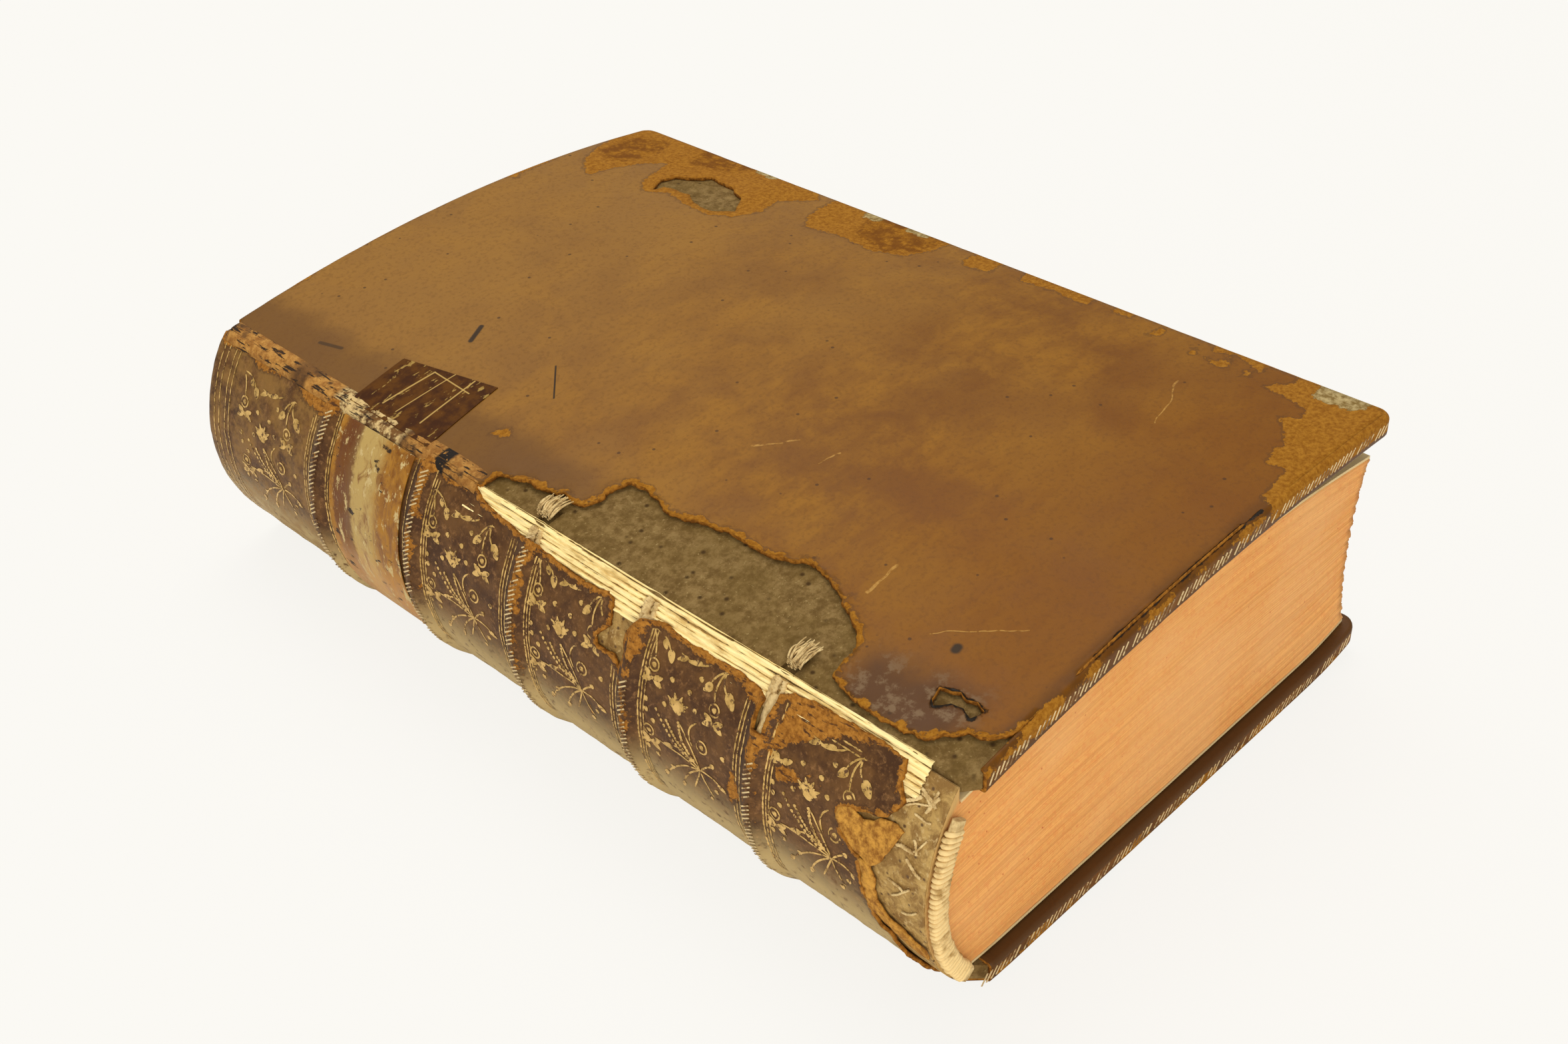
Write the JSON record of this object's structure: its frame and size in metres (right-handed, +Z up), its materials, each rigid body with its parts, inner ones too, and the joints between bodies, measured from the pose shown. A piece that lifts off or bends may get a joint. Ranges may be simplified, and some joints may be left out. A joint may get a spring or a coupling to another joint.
{
  "type": "antique leather book",
  "caption": "Old octavo book in full calf lying flat, with raised bands, a gilt spine, a split upper joint and boards hinged to a sewn text block.",
  "frame": {"origin": "middle of the book's length and width, on the surface that it lies on", "axes": "+X from the spine to the fore-edge, +Y from the tail to the head, +Z up through the upper cover"},
  "size_m": [0.1314, 0.2, 0.0582],
  "materials": {
    "calf": "old polished calf, warm brown, rubbed to suede at the edges",
    "spine_calf": "dark purple-brown calf with worn gilt tooling",
    "pasteboard": "bare grey-brown pasteboard",
    "leaves": "laid paper with salmon stained and sprinkled edges",
    "endpaper": "cream laid paper",
    "lining": "old paper and vellum lining, stained with glue",
    "cord": "hemp sewing cord",
    "thread": "linen thread",
    "label": "rubbed remains of a leather label",
    "tape": "aged clear brown film"
  },
  "bodies": {
    "lower_cover": {"lower_board": "pasteboard", "lower_cord_slip_1": "cord", "lower_cord_slip_2": "cord", "lower_cord_slip_3": "cord", "lower_cord_slip_4": "cord", "lower_cord_slip_5": "cord", "lower_leather": "calf", "lower_pastedown": "endpaper"},
    "block": {"back_flyleaf": "endpaper", "front_flyleaf": "endpaper", "head_headband_core": "cord", "head_headband_thread": "thread", "kettle_stitch_head": "thread", "kettle_stitch_tail": "thread", "sewing_cord_1": "cord", "sewing_cord_2": "cord", "sewing_cord_3": "cord", "sewing_cord_4": "cord", "sewing_cord_5": "cord", "spine_leather": "spine_calf", "spine_lining_1": "lining", "spine_lining_2": "lining", "spine_lining_3": "lining", "spine_lining_4": "lining", "spine_lining_5": "lining", "spine_lining_6": "lining", "spine_tape": "tape", "tail_headband_core": "cord", "tail_headband_thread": "thread", "text_block": "leaves", "title_label": "label"},
    "upper_cover": {"board_tape": "tape", "upper_board": "pasteboard", "upper_cord_slip_1": "cord", "upper_cord_slip_3": "cord", "upper_cord_slip_4": "cord", "upper_cord_slip_5": "cord", "upper_leather": "calf", "upper_pastedown": "endpaper"}
  },
  "joints": [
    {"name": "lower_joint", "type": "hinge", "parent": "lower_cover", "child": "block", "pos_m": [-0.0518, 0, 0.0005], "axis": [0, -1, 0], "range_deg": [0, 170]},
    {"name": "upper_joint", "type": "hinge", "parent": "block", "child": "upper_cover", "pos_m": [-0.0548, 0, 0.0516], "axis": [0, -1, 0], "range_deg": [0, 170]}
  ]
}
